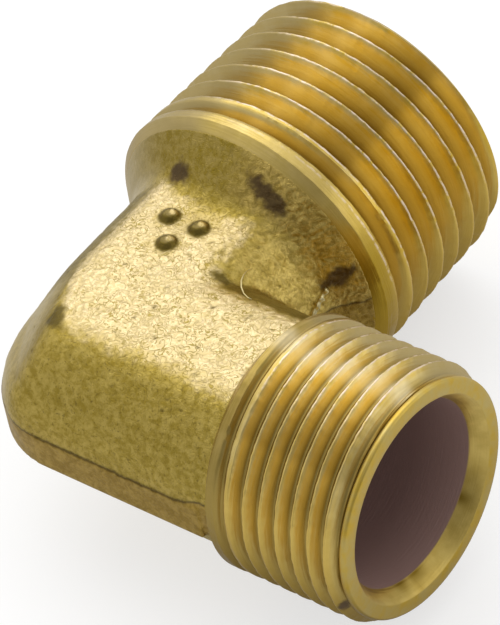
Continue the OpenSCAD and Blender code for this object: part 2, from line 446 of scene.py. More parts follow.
def outer_skin(points):
    """How far each point lies outside the forging's outer skin, about in mm."""
    x, y, z = points.T
    drawn_in = DRAFT * step(np.abs(z), 0.6, 4.0)
    tube = np.hypot(y, z) - LEG_R + drawn_in
    pipe = np.hypot(x, z) - LEG_R + drawn_in
    ball = norm(points, axis=1) - CORNER_BALL_R
    corner = soft_max(soft_max(tube, pipe, 0.9), ball, 0.5)
    crotch = soft_min(tube, pipe, 0.7)
    legs = np.where(x < 0, np.where(y < 0, corner, pipe), np.where(y < 0, tube, crotch))
    underfill = points @ UNDERFILL_NORMAL - UNDERFILL_AT - 0.35 * step(-z, -3.4, -2.0)
    legs = soft_max(legs, np.where((x < 1) & (z > 0), underfill, -9), 1.2)
    west = step(-x, 2.0, 4.5) * step(y, -3.0, 1.0)
    legs = soft_max(legs, np.abs(z) - PAD_Z, 0.75 - 0.4 * west)

    pipe_cone = (np.hypot(x, z) - PIPE_RIM_R) * math.cos(PIPE_FLARE)
    pipe_cone -= (y - PIPE_NECK_Y) * math.sin(PIPE_FLARE)
    body = soft_min(legs, np.maximum(pipe_cone, 6 - y), 0.9)

    tube_cone = (np.hypot(y, z) - LEG_R + SINK) * math.cos(TUBE_FLARE)
    tube_cone -= (x - TUBE_NECK_X) * math.sin(TUBE_FLARE)
    body = soft_min(body, np.maximum(tube_cone, 10.8 - x), 0.12)

    flash = flash_distance(points)
    flash = np.maximum(flash, np.maximum(z - flash_edge(points), FLASH_BOTTOM - z))
    flash = np.maximum(flash, np.maximum(x - FLASH_END_X, y - 10.2))
    body = np.minimum(body, flash)

    for dot_x, dot_y in DOTS:
        side = np.hypot(x - dot_x, y - dot_y) - DOT_R + (DOT_R - DOT_TOP_R) * (z - PAD_Z) / DOT_H
        dot = soft_max(side, z - PAD_Z - DOT_H, 0.12)
        body = soft_min(body, np.maximum(dot, PAD_Z - 1 - z), 0.06)
    return body


def waterways(points):
    """How far each point lies outside the two drillings, about in mm."""
    slope = math.tan(HALF_DRILL_POINT)
    found = []
    for along, across in ((0, 1), (1, 0)):
        r = np.hypot(points[:, across], points[:, 2]) - WATERWAY_R
        tip = (r - (points[:, along] + DRILL_OVERRUN) * slope) * math.cos(HALF_DRILL_POINT)
        found.append(np.maximum(r, tip))
    return np.minimum(*found)


def forging_field(points):
    """How far each point lies outside the forging's metal, about in mm."""
    body = soft_max(outer_skin(points), -waterways(points), 0.1)
    body = soft_max(body, points[:, 0] - TUBE_NECK_X, 0.05)
    return soft_max(body, points[:, 1] - PIPE_NECK_Y + 0.02, 0.1)


def slope_of(field, points):
    """The field's slope at each point, by small steps either way."""
    small = 0.01
    slope = np.empty_like(points)
    for axis in range(3):
        away = np.zeros(3)
        away[axis] = small
        slope[:, axis] = (field(points + away) - field(points - away)) / (2 * small)
    return slope


def settled(places, rounds):
    """Brings places onto the field's zero surface by Newton's steps."""
    for _ in range(rounds):
        slope = slope_of(forging_field, places)
        size = np.maximum(np.einsum("ij,ij->i", slope, slope), 0.2)
        shift = slope * (forging_field(places) / size)[:, None]
        length = np.maximum(norm(shift, axis=1), 1e-9)
        places = places - shift * np.minimum(1, 0.25 / length)[:, None]
    return places


def stain(places, tree, name, seed, radius, stretch=1.0, towards=(1, 0, 0)):
    """A blotch round the place that an image point names, stretched in one direction."""
    away = places - on_surface(tree, IMAGE_POINTS[name])
    along = away @ (np.array(towards) / norm(towards))
    size = np.sqrt(np.sum(away**2, 1) - along**2 + (along / stretch) ** 2) / radius
    torn = 0.35 * noise(places, 0.9 * radius, seed) + 0.2 * noise(places, 0.35 * radius, seed + 20)
    return 1 - step(size + torn, 0.5, 1.15)


def forged_skin():
    """The forging: its node's surface settled on forging_field, then dented, with masks for its material."""
    places, faces = remeshed("forged_elbow", FORGING_VOXEL)
    edges = edges_of(faces)
    for rounds in (2, 2, 0):
        places = settled(places, 3)
        places = evened(places, edges, rounds)
    normals = slope_of(forging_field, places)
    normals /= np.maximum(norm(normals, axis=1), 1e-9)[:, None]
    outside = outer_skin(places) > -0.08
    outside &= places[:, 0] < TUBE_NECK_X - 0.15
    outside &= places[:, 1] < PIPE_NECK_Y - 0.04
    x, y, z = places.T
    ny, nz = normals[:, 1], normals[:, 2]
    radius = np.hypot(x, z)

    # Which skin is where: the bright pads, the cone behind the pipe thread and the wall inside the bend.
    frayed = 0.05 * noise(places, 0.5, 31) + 0.04 * noise(places, 1.6, 32)
    lean = 0.10 * step(-normals[:, 0], 0.15, 0.4) * step(y, -2.0, 1.0)
    fray = 0.02 * step(-ny, 0.0, 0.3) * noise(places, 0.3, 33)
    lean = lean - 0.03 * step(-ny, 0.02, 0.2)
    pad = step(np.abs(nz) + frayed + lean + fray, 0.87, 0.99) * (np.abs(z) < PAD_Z + 0.5)
    on_cone = step(y, 9.6, 10.6) * step(radius, 7.2, 8.2) * step(-ny, 0.35, 0.6)
    inner_wall = step(x, 3.0, 5.5) * step(y, 5.0, 7.0) * (1 - pad)
    rough_cone = on_cone * step(x, 0.0, 3.5)
    land = (z < flash_edge(places)) * (z > FLASH_BOTTOM) * step(flash_distance(places), -0.12, -0.04)
    line = np.exp(-((z - flash_edge(places) - 0.02) / 0.09) ** 2) * step(flash_distance(places), -0.3, -0.12)

    # Dents and crinkles of the forged skin
    coarse = noise(places, 2.6, 1)
    lumps = noise(places, 1.1, 2)
    crinkle = worms(places, 0.5, 3)
    fine = noise(places, 0.3, 7)
    height = 0.015 * coarse
    height += pad * (0.022 * crinkle + 0.012 * fine + 0.006 * lumps)
    sides = (1 - pad) * (1 - on_cone) * (1 - land)
    height += sides * (0.022 * lumps + 0.009 * crinkle + 0.009 * fine)
    height += inner_wall * (0.050 * lumps + 0.016 * crinkle + 0.010 * fine)
    height += rough_cone * (0.040 * lumps + 0.012 * crinkle + 0.008 * fine)
    height += 0.004 * on_cone * fine
    pits = step(noise(places, 0.42, 11), 0.62, 0.8) * (1 - 0.7 * on_cone) * (1 - land)
    height -= 0.03 * pits
    first = BVHTree.FromPolygons(places.tolist(), faces)
    for name in ("pit in the pad", "pit below it", "pit by the thread", "pit in the side"):
        hole = np.exp(-(norm(places - on_surface(first, IMAGE_POINTS[name]), axis=1) / 0.13) ** 2)
        height -= 0.07 * hole
        pits = np.maximum(pits, 1.5 * hole)
        marked(hole)

    fade = step(TUBE_NECK_X - 0.15 - x, 0, 0.3) * step(PIPE_NECK_Y - 0.04 - y, 0, 0.3)
    places = places + normals * (height * outside * fade)[:, None]
    tree = BVHTree.FromPolygons(places.tolist(), faces)
    stains = [stain(places, tree, *spot) for spot in STAINS]
    shade_blotches = [stain(places, tree, *spot) for spot in SHADE_BLOTCHES]
    for spot, blotch in zip(STAINS + SHADE_BLOTCHES, stains + shade_blotches):
        marked(blotch * outside)
    flat = np.stack([x, y], 1)
    # Painted light on the dots: a pale painted highlight on each top, off its middle, and painted shade on the
    # rest of its sides
    from_dot = np.min([norm(flat - dot, axis=1) for dot in DOTS], 0)
    from_dot_highlight = np.min([norm(flat - dot - DOT_HIGHLIGHT, axis=1) for dot in DOTS], 0)
    dot_side_shade = step(from_dot_highlight, 0.20, 0.36) * step(-from_dot, -0.92, -0.74) * (z > PAD_Z - 0.2)
    pad = np.maximum(pad, (1 - step(from_dot_highlight, 0.20, 0.36)) * (z > PAD_Z + 0.04))
    # Painted shade on the pads: a painted reflection of the flare darkens the pad beside it, and the pad is
    # darker round the dots and along its -Y edge
    pad_painted_shade = 0.62 * step(y, 6.0, 8.2) * step(x, -1.8, -0.2) * (1 - 0.65 * step(x, 1.2, 2.6))
    pad_painted_shade = np.maximum(pad_painted_shade, 0.30 * step(-from_dot, -1.6, -0.8))
    pad_painted_shade = pad * np.maximum(pad_painted_shade, 0.45 * step(-y, 1.8, 4.2) * step(x, -4.0, -1.0))
    # Painted shadow on the tube leg's inner side, by the crotch
    crotch_side_shade = step(ny, 0.2, 0.6) * step(x, 1.0, 3.0) * step(z, 2.0, 4.5)
    crotch_side_shade *= (1 - pad) * step(-y, -9.5, -8.5)
    on_leg = step(y, -1.0, 1.5) * (1 - step(y, 9.2, 9.9))
    # Painted reflection: -X-facing sides round the outside corner turn grey far out to -X; nearer the middle,
    # the upper ones turn brown
    west = step(-normals[:, 0], 0.35, 0.85) * (1 - pad) * (1 - on_leg)
    west *= 1 - step(x + 0.5 * coarse, -5.8, -1.8)
    brown = step(-normals[:, 0], 0.45, 0.68) * (1 - pad) * (1 - on_leg)
    brown *= step(x + 0.4 * coarse, -5.4, -3.0)
    # Painted shade along the legs' -X-facing edges
    leg_edge_shade = 0.55 * step(-normals[:, 0], 0.3, 0.6) * (1 - pad) * on_leg
    masks = {
        "smooth": 1 - step(x + 0.6 * y + 0.8 * coarse, -6.5, 0.5),
        "stain": np.max(stains, 0) * outside,
        "painted_shade": np.max(shade_blotches + [0.9 * dot_side_shade, leg_edge_shade], 0) * outside,
        "pad": (pad - pad_painted_shade) * outside,
        "cone": on_cone * outside,
        "land": land * outside,
        "line": line * outside,
        "inner": inner_wall * (1 - on_cone) * outside,
        "rough": rough_cone * outside,
        "far": crotch_side_shade * outside,
        "west": west * outside,
        "brown": brown * (z > 0) * outside,
        "pit": pits * outside,
        "ridge": np.clip(crinkle, -1, 1) * 0.5 + 0.5,
        "bore": (waterways(places) < 0.3) * (outer_skin(places) < -0.08) * 1.0,
    }
    return made_piece("forged_skin", places, faces, masks, "forged_elbow")


# ------------------------ burrs
def burr(name, rings, bright):
    """A small torn piece of the forging's skin: a closed rod through rings of places."""
    sides = len(rings[0])
    places = np.array(rings).reshape(-1, 3)
    faces = []
    for i in range(len(rings) - 1):
        for k in range(sides):
            a, b = sides * i + k, sides * i + (k + 1) % sides
            faces.append((a, b, b + sides, a + sides))
    faces += [tuple(range(sides - 1, -1, -1)), tuple(range(len(places) - sides, len(places)))]
    return shown_piece(name, places, faces, {"pad": np.full(len(places), bright)})


def curl(tree):
    """The thin curl of brass that stands by the crotch, with both of its ends on the skin."""
    right, up, back = (np.array(axis) for axis in camera_axes())
    middle = on_surface(tree, IMAGE_POINTS["curl of brass"])
    flat = [middle + across * right + along * up for across, along in CURL]
    skin = [float((on_surface(tree, in_photo(point)[0]) - point) @ back) for point in flat]
    rise = [skin[0] + (skin[-1] - skin[0]) * i / (len(flat) - 1) for i in range(len(flat))]
    arch = [math.sin(math.pi * i / (len(flat) - 1)) for i in range(len(flat))]
    lift = [max(high + 0.35 * bow, under + 0.12 * bow) for high, bow, under in zip(rise, arch, skin)]
    spine = [point + high * back for point, high in zip(flat, lift)]
    rings = []
    for i, centre in enumerate(spine):
        ahead = spine[min(i + 1, len(spine) - 1)] - spine[max(i - 1, 0)]
        ahead /= norm(ahead)
        side = np.cross(back, ahead)
        thick = 0.10 * (1 - 0.5 * abs(2 * i / (len(spine) - 1) - 1))
        turns = [k * math.pi / 3 for k in range(6)]
        rings.append([centre + thick * (math.cos(t) * side + 1.6 * math.sin(t) * back) for t in turns])
    marked(np.ones(6 * len(rings)))
    return burr("curl", rings, 1.0)


def crotch_flash(tree):
    """The jagged fin of flash between the wall inside the bend and the tube thread."""
    right, up, _ = (np.array(axis) for axis in camera_axes())
    tip = on_surface(tree, IMAGE_POINTS["tip of the crotch flash"])
    along = -0.42 * right - 0.9 * up
    rng = np.random.default_rng(11)
    rings = []
    count = 15
    for i in range(count):
        found, normal = tree.find_nearest((tip + along * 2.3 * i / (count - 1)).tolist())[:2]
        found, normal = np.array(found), np.array(normal)
        side = np.cross(normal, along)
        side /= norm(side)
        tall = 0.16 + 0.22 * rng.random() + 0.12 * (i < 2)
        section = ((-0.13, -0.3), (-0.06, tall), (0.06, tall), (0.13, -0.3))
        rings.append([found + side * off + normal * high for off, high in section])
    marked(np.ones(8))
    return burr("crotch_flash", rings, 0.7)


# ------------------------ turned ends
def thread_height(phase, crest, root):
    """Height of a 60 degree thread, 1 on its crest and 0 in its root, at a phase in turns."""
    off = np.abs((phase + 0.5) % 1.0 - 0.5)
    flank = (0.5 - root - off) / (0.5 - root - crest)
    return soft_max(soft_min(flank, 1.0, 0.06), 0.0, 0.1)


def thread_phases(crest, root):
    """Where a thread's rows lie in one turn: closer together where its profile bends."""
    middle = (0.5 - root + crest) / 2
    half = [crest * 0.9, crest + 0.025, (crest + middle) / 2, middle]
    half += [(middle + 0.5 - root) / 2, 0.475 - root, 0.5 - root / 2]
    return np.array(sorted([0.0, 0.5] + half + [1 - value for value in half]))


def turned(before, thread, after, columns):
    """A closed turned shape with a helical thread between two runs of plain rings, round its own axis.

    Rings are (place along the axis, radius). The thread's rows follow its helix, and rows that run past
    either end of the thread gather on its end. The last ring joins the first. Returns along, radius and
    turn for each vertex, the faces, and which run each vertex belongs to.
    """
    turn = np.arange(columns) / columns
    start, end = thread["span"]
    pitch, crest_at = thread["pitch"], thread["crest_at"]
    phases = thread_phases(*thread["flats"])
    shift = len(phases)
    low = math.floor((start - crest_at) / pitch) - 2
    high = math.ceil((end - crest_at) / pitch) + 2
    values = np.concatenate([k + phases for k in range(low, high)])

    rings = len(before)
    along = [np.full(columns, place) for place, _ in before]
    radius = [np.full(columns, size) for _, size in before]
    for value in values:
        row = np.clip(crest_at + pitch * (value + turn), start, end)
        along.append(row)
        radius.append(thread["radius"](row, turn))
    along += [np.full(columns, place) for place, _ in after]
    radius += [np.full(columns, size) for _, size in after]
    along, radius = np.array(along), np.array(radius)
    rows = len(along)

    ids = np.arange(rows * columns).reshape(rows, columns)
    helix = ids[rings:rings + len(values)]
    places = along[rings:rings + len(values)]
    helix[:] = np.where(places <= start + 1e-9, helix[0][None, :], helix)
    helix[:] = np.where(places >= end - 1e-9, helix[-1][None, :], helix)

    faces = []
    for i in range(rows):
        below = (i + 1) % rows
        for j in range(columns):
            right = (j + 1) % columns
            a, d = ids[i, j], ids[below, j]
            b, c = (wrapped(ids, row, right, rings, len(values), shift) for row in (i, below))
            corners = list(dict.fromkeys((a, b, c, d)))
            if len(corners) > 2:
                faces.append(tuple(corners))
    run = np.concatenate([np.zeros(rings), np.ones(len(values)), np.full(len(after), 2)])
    return along.ravel(), radius.ravel(), np.tile(turn, rows), faces, np.repeat(run, columns)


def wrapped(ids, row, column, rings, count, shift):
    """A vertex's number. Round at its first column again, the helix has moved on by one turn's rows."""
    if column or not rings <= row < rings + count:
        return ids[row, column]
    return ids[min(row + shift, rings + count - 1), 0]


def used_only(places, faces, masks):
    """Leaves out the vertices that no face uses."""
    used = np.unique(np.concatenate([np.array(face) for face in faces]))
    number = np.full(len(places), -1)
    number[used] = np.arange(len(used))
    faces = [tuple(number[list(face)].tolist()) for face in faces]
    return places[used], faces, {title: values[used] for title, values in masks.items()}


def turned_piece(name, node, before, thread, after, columns, along_axis):
    """A turned end as a shown piece, with masks for its material. Its axis is X (0) or Y (1)."""
    along, radius, turn, faces, run = turned(before, thread, after, columns)
    angle = 2 * math.pi * turn
    phase = (along - thread["crest_at"]) / thread["pitch"] - turn
    height = thread_height(phase, *thread["flats"]) * (run == 1)
    start, end = thread["span"]
    around = np.stack([along, 9 * np.cos(angle), 9 * np.sin(angle)], 1)
    waver = 0.03 * noise(around, 0.8, 45) + 0.035 * noise(around, 0.35, 46)
    waver *= height**2 * step(along, start, start + 0.5) * step(-along, -end, 0.5 - end)
    along = along + waver
    across, up = radius * np.cos(angle), radius * np.sin(angle)
    if along_axis == 0:
        places = np.stack([along, across, up], 1)
    else:
        up = -up
        places = np.stack([across, along, up], 1)
    full = step(radius - thread["crest_r"](along), -0.12, -0.06)
    degrees = 360 * turn
    # Painted reflection: dark bands over given arcs round the axis
    dark_reflection = 0
    for low, high, share in thread["dark_reflection"]:
        dark_reflection = dark_reflection + share * step(degrees, low - 6, low + 6) * (1 - step(degrees, high - 3, high + 3))
    # Painted highlight: a cream band over a short arc round the axis
    low, high, share = thread["cream_highlight"]
    cream_highlight = share * step(degrees, low - 6, low + 1) * (1 - step(degrees, high - 2, high + 7)) * (run == 1)
    nick = 0
    for at, wide in thread["nicks"]:
        deep = 1 - step(radius + 0.15 * noise(around, 0.5, 47), 6.78, 7.10)
        nick = np.maximum(nick, deep * np.exp(-(((degrees - at) / wide) ** 2)))
    blank = (run == 0) + (run == 1) * (1 - step(along, start + 0.4, start + 1.7))
    inside = (run == 2) * (radius < thread["inside_r"] + 1e-6) + (run == 0) * (radius < thread["inside_r"])
    masks = {
        "crest": step(height, 0.93, 1.0) * full * (run == 1) * step(along, start + 0.2, start + 1.2),
        "root": (1 - step(height, 0.02, 0.38)) * (run == 1),
        "band": step(height, 0.35, 0.8) * (run == 1),
        "blank": blank,
        "lit": step(np.cos(angle - thread["lit_at"]), *thread["lit"]),
        "reflected_tan": step(np.cos(angle - thread["reflected_tan_at"]), *thread["reflected_tan"]),
        "mouth": (run == 2) * (radius < thread["mouth_r"]) * (1.0 - inside),
        "under": step(-up / np.maximum(radius, 1), *thread["under"]) * (1 - 0.7 * (run == 2) * (radius < 8.0)),
        "dark_reflection": dark_reflection * (run < 2),
        "cream_highlight": cream_highlight,
        "groove": (run == 2) * (along < end + thread["relief"]) * (radius > thread["mouth_r"]) * 1.0,
        "top": step(up / np.maximum(radius, 1), 0.25, 0.95),
        "face": (run == 2) * (1.0 - inside),
        "bore": np.clip(inside, 0, 1) * 1.0,
        "nick": nick * (run == 2) * (1.0 - inside),
    }
    if along_axis == 0:
        tree = BVHTree.FromPolygons(places.tolist(), faces)
        away = np.array(camera_axes()[0]) * 0.42 - np.array(camera_axes()[1])
        masks["notch"] = stain(places, tree, "notch at the thread's start", 57, 0.50, 2.6, away)
        marked(masks["notch"])
    places, faces, masks = used_only(places, faces, masks)
    piece = made_piece(name, places, faces, masks, node)
    piece.data.set_sharp_from_angle(angle=math.radians(50))
    return piece


def groove_depth(phase, turn, flats, depth, start):
    """Depth of a helical groove that starts at the phase start and grows over GROOVE_RUNOUT turns."""
    turns = np.floor(phase) + 0.5 + turn - start
    share = np.clip(turns / GROOVE_RUNOUT, 0, 1)
    return soft_max(depth * (share - thread_height(phase, *flats)), 0.0, 0.03)


def tube_radius(along, turn):
    """Outer radius of the tube thread at a place and a turn round it."""
    phase = (along - TUBE_CREST_AT) / TUBE_PITCH - turn
    around = np.stack([along, np.cos(2 * math.pi * turn) * 8.7, np.sin(2 * math.pi * turn) * 8.7], 1)
    first = (TUBE_GROOVE_START - TUBE_CREST_AT) / TUBE_PITCH
    cut = groove_depth(phase, turn, TUBE_FLATS, TUBE_DEPTH, first)
    worn = 0.022 * noise(around, 0.9, 41) + 0.014 * noise(around, 0.3, 42)
    radius = TUBE_CREST_R - cut + worn * (1 - cut / TUBE_DEPTH) - 0.014
    lead = TUBE_CREST_R - TUBE_DEPTH + (TUBE_THREAD_END_X - along) / math.tan(math.radians(30))
    return np.minimum(radius, lead)


def tube_end():
    """The tube end: neck, straight thread, relief groove, nose, cone and socket, back to its start."""
    groove = TUBE_CREST_R - TUBE_DEPTH
    start = TUBE_NECK_X + (TUBE_CREST_R - LEG_R) / math.tan(TUBE_FLARE)
    thread = {
        "pitch": TUBE_PITCH,
        "crest_at": TUBE_CREST_AT,
        "span": (start + 0.03, TUBE_THREAD_END_X),
        "radius": tube_radius,
        "flats": TUBE_FLATS,
        "inside_r": 6.46,
        "mouth_r": 7.15,
        "relief": 0.24,
        "dark_reflection": ((100, 132, 0.40), (88, 132, 0.18)),
        "under": (-0.32, 0.65),
        "cream_highlight": (79, 86, 0.40),
        "nicks": ((315, 4.0), (248, 7.0), (262, 7.0)),
        "lit_at": math.radians(78),
        "lit": (0.75, 0.97),
        "reflected_tan_at": math.radians(30),
        "reflected_tan": (0.75, 0.90),
        "crest_r": lambda along: np.full(len(along), TUBE_CREST_R),
    }
    before = [
        (11.2, 5.4),
        (11.2, LEG_R - (TUBE_NECK_X - 11.2) * math.tan(TUBE_FLARE)),
        (11.7, LEG_R - (TUBE_NECK_X - 11.7) * math.tan(TUBE_FLARE)),
        (TUBE_NECK_X, LEG_R),
        (start - 0.05, TUBE_CREST_R - 0.07),
        (start, TUBE_CREST_R - 0.015),
    ]
    nose = TUBE_NOSE_X
    after = [
        (TUBE_THREAD_END_X + 0.04, groove - 0.08),
        (TUBE_THREAD_END_X + 0.16, groove - 0.10),
        (TUBE_THREAD_END_X + 0.21, groove),
        (TUBE_THREAD_END_X + 0.25, NOSE_R - 0.04),
        (TUBE_THREAD_END_X + 0.31, NOSE_R),
        (nose - 0.22, NOSE_R),
        (nose - 0.10, NOSE_R - 0.03),
        (nose - 0.03, NOSE_R - 0.09),
        (nose, NOSE_R - 0.2),
        (nose, 7.18),
        (nose - 0.03, CONE_MOUTH_R),
        (22.20, 6.47),
        (22.10, SOCKET_R),
        (18.0, SOCKET_R),
        (13.95, SOCKET_R),
        (13.90, 6.40),
        (13.16, 5.17),
        (13.10, WATERWAY_R),
        (12.27, WATERWAY_R),
        (12.25, 5.4),
    ]
    return turned_piece("tube_thread", "tube_thread_end", before, thread, after, TUBE_COLUMNS, 0)


def pipe_crest(along):
    """Radius of the tapered thread's crests at a place along it."""
    return PIPE_CREST_R - (along - PIPE_CREST_AT) * PIPE_TAPER


def pipe_radius(along, turn):
    """Outer radius of the tapered pipe thread at a place and a turn round it."""
    phase = (along - PIPE_CREST_AT) / PIPE_PITCH - turn
    around = np.stack([along, np.cos(2 * math.pi * turn) * 10.6, np.sin(2 * math.pi * turn) * 10.6], 1)
    first = (PIPE_GROOVE_START - PIPE_CREST_AT) / PIPE_PITCH
    cut = groove_depth(phase, turn, PIPE_FLATS, PIPE_DEPTH, first)
    worn = 0.024 * noise(around, 1.1, 43) + 0.016 * noise(around, 0.35, 44)
    radius = pipe_crest(along) - cut + worn * (1 - cut / PIPE_DEPTH) - 0.018
    end = pipe_crest(PIPE_END_Y) - 0.35 + (PIPE_END_Y - along)
    return np.minimum(radius, end)


def pipe_end():
    """The pipe end: rim, tapered thread, end face and waterway, back to its start."""
    thread = {
        "pitch": PIPE_PITCH,
        "crest_at": PIPE_CREST_AT,
        "span": (PIPE_NECK_Y + 0.55, PIPE_END_Y),
        "radius": pipe_radius,
        "flats": PIPE_FLATS,
        "inside_r": 5.19,
        "mouth_r": 0.0,
        "relief": -1.0,
        "dark_reflection": ((298, 312, 0.22), (262, 312, 0.42), (240, 272, 0.20)),
        "under": (-0.38, 1.2),
        "cream_highlight": (272, 274, 0.12),
        "nicks": (),
        "lit_at": math.radians(303),
        "lit": (0.50, 0.80),
        "reflected_tan_at": math.radians(220),
        "reflected_tan": (0.72, 0.86),
        "crest_r": pipe_crest,
    }
    before = [
        (PIPE_NECK_Y - 0.15, 5.4),
        (PIPE_NECK_Y - 0.15, PIPE_RIM_R - 0.18),
        (PIPE_NECK_Y, PIPE_RIM_R),
        (PIPE_NECK_Y + 0.5, pipe_crest(PIPE_NECK_Y) - 0.06),
    ]
    after = [
        (PIPE_END_Y, 7.5),
        (PIPE_END_Y, 5.75),
        (PIPE_END_Y - 0.05, 5.62),
        (PIPE_END_Y - 0.46, 5.20),
        (PIPE_END_Y - 0.48, 5.18),
        (PIPE_END_Y - 0.6, WATERWAY_R),
        (20.0, WATERWAY_R),
        (12.8, WATERWAY_R),
        (12.75, 5.4),
    ]
    return turned_piece("pipe_thread", "pipe_thread_end", before, thread, after, PIPE_COLUMNS, 1)


# ------------------------ materials
class Tree:
    """Adds nodes to a node tree."""

    def __init__(self, tree):
        self.tree = tree

    def link(self, source, target):
        self.tree.links.new(source, target)

    def put(self, target, value):
        """Sets a socket to a number or a colour, or links another socket to it."""
        if isinstance(value, bpy.types.NodeSocket):
            self.link(value, target)
        else:
            target.default_value = (*value, 1) if isinstance(value, tuple) else value

    def node(self, kind, inputs, **settings):
        """A new node of a kind, with its settings and then its inputs."""
        node = self.tree.nodes.new("ShaderNode" + kind)
        for name, value in settings.items():
            setattr(node, name, value)
        for name, value in inputs.items():
            self.put(node.inputs[name], value)
        return node

    def maths(self, operation, *values):
        return self.node("Math", dict(enumerate(values)), operation=operation).outputs[0]

    def times(self, a, b):
        return self.maths("MULTIPLY", a, b)

    def plus(self, a, b):
        return self.maths("ADD", a, b)

    def flipped(self, value):
        """1 where the value is 0, and 0 where it is 1."""
        return self.maths("SUBTRACT", 1.0, value)

    def ramp(self, value, low, high, out=(0.0, 1.0)):
        """The first of out where value is below low, the second above high, and smooth between."""
        inputs = {"Value": value, "From Min": low, "From Max": high, "To Min": out[0], "To Max": out[1]}
        return self.node("MapRange", inputs, interpolation_type="SMOOTHSTEP").outputs["Result"]


class Nodes(Tree):
    """Builds one node material."""

    def __init__(self, name):
        self.material = bpy.data.materials.new(name)
        self.material.use_nodes = True
        super().__init__(self.material.node_tree)
        self.shader = self.tree.nodes["Principled BSDF"]
        place = self.node("TexCoord", {}).outputs["Object"]
        self.place = self.node("VectorMath", {0: place, "Scale": 1 / MM}, operation="SCALE").outputs[0]

    def mask(self, title):
        """A vertex attribute of the piece."""
        return self.node("Attribute", {}, attribute_name=title).outputs["Fac"]

    def noise(self, period, detail=3.0, rough=0.55, warp=0.0):
        """Noise from about 0.3 to 0.7 with bumps of one period, in mm."""
        inputs = {"Scale": 1 / period, "Detail": detail, "Roughness": rough, "Distortion": warp}
        return self.node("TexNoise", {**inputs, "Vector": self.place}).outputs["Fac"]

    def streaks(self, per_mm):
        """Noise from about 0.3 to 0.7 with this many bumps to the millimetre along each axis."""
        place = self.node("VectorMath", {0: self.place, 1: list(per_mm)}, operation="MULTIPLY").outputs[0]
        return self.node("TexNoise", {"Scale": 1.0, "Detail": 2.0, "Vector": place}).outputs["Fac"]

    def mix(self, factor, a, b):
        """Colour a where factor is 0 and b where it is 1."""
        return self.node("Mix", {"Factor": factor, "A": a, "B": b}, data_type="RGBA").outputs["Result"]

    def tinted(self, colour, title, share, towards):
        """The colour, drawn towards another where a mask is set, by a share of the mask."""
        return self.mix(self.times(self.mask(title), share), colour, towards)

    def bump(self, value, distance, below=None):
        """Bumps as high as distance, in mm."""
        inputs = {"Distance": distance * MM, "Height": value}
        if below is not None:
            inputs["Normal"] = below
        return self.node("Bump", inputs).outputs["Normal"]

    def finish(self, colour, roughness, normal):
        """Wires the shader up, and returns the material."""
        self.put(self.shader.inputs["Base Color"], colour)
        self.put(self.shader.inputs["Roughness"], roughness)
        self.link(normal, self.shader.inputs["Normal"])
        return self.material


def bare_brass(n):
    """Metal everywhere but in the drilled holes, which are painted dark and not metal: painted shade inside
    them.
    """
    n.put(n.shader.inputs["Metallic"], n.flipped(n.times(n.mask("bore"), 0.9)))


def forged_brass():
    """The forging's brass: pale rubbed pads, olive sides, the marks that its masks name, and painted shade,
    highlights and reflections.
    """
    n = Nodes("forged_brass")
    mottle = n.ramp(n.noise(0.6, 4.0, 0.75, 0.4), 0.35, 0.65)
    specks = n.ramp(n.noise(0.20, 2.0), 0.60, 0.70)
    worms = n.ramp(n.noise(0.34, 2.0, 0.5, 1.6), 0.42, 0.62)
    creases = n.ramp(n.maths("ABSOLUTE", n.maths("SUBTRACT", n.noise(0.56, 1.0, 0.5, 1.5), 0.5)), 0.052, 0.0)
    creases = n.times(creases, n.flipped(n.times(n.mask("smooth"), 0.65)))
    patches = n.ramp(n.noise(1.3, 2.0), 0.38, 0.6)
    colour = n.mix(mottle, OLIVE, LIGHT_OLIVE)
    colour = n.mix(n.times(specks, 0.5), colour, DEEP_OLIVE)
    colour = n.mix(n.mask("cone"), colour, n.mix(mottle, CONE_OLIVE, CONE_PALE))
    soft = n.ramp(n.noise(0.5, 3.0, 0.6, 1.0), 0.34, 0.66)
    colour = n.mix(n.mask("rough"), colour, n.mix(soft, ROUGH_SHADE, ROUGH_PALE))
    colour = n.mix(n.mask("inner"), colour, n.mix(soft, WALL_SHADE, WALL_GOLD))
    # Painted reflection: grey on the -X-facing sides at the outside corner
    colour = n.tinted(colour, "west", 0.75, GRAZING_REFLECTION_GREY)
    colour = n.tinted(colour, "brown", 0.7, WEST_BROWN)
    # Painted shadow by the crotch
    colour = n.tinted(colour, "far", 0.6, DEEP_OLIVE)
    grain = n.times(worms, n.ramp(n.mask("ridge"), 0.05, 0.6))
    pad = n.mix(n.plus(n.times(grain, 0.40), 0.60), PAD_SHADE, PALE_GOLD)
    pad = n.mix(n.times(creases, n.plus(n.times(patches, 0.75), 0.25)), pad, PAD_DARK)
    colour = n.mix(n.mask("pad"), colour, pad)
    colour = n.mix(n.mask("land"), colour, n.mix(mottle, LAND_TAN, LAND_PALE))
    colour = n.tinted(colour, "line", 0.8, LINE_DARK)
    colour = n.tinted(colour, "pit", 0.6, DEEP_OLIVE)
    # Painted shade, drawn towards deep olive: the dent at the pad's outside corner, the crotch, the dots' sides
    # and the legs' -X-facing edges
    colour = n.tinted(colour, "painted_shade", 0.93, DEEP_OLIVE)
    colour = n.tinted(colour, "stain", 0.9, PURPLE_BROWN)
    # Painted shade inside the drilled holes
    colour = n.mix(n.mask("bore"), colour, BORE_SHADE)
    roughness = n.plus(n.times(n.noise(0.4, 2.0), 0.2), 0.32)
    wrinkles = n.plus(n.noise(0.16, 2.0), n.times(creases, -0.8))
    fine = n.bump(wrinkles, 0.016)
    bare_brass(n)
    return n.finish(colour, roughness, fine)


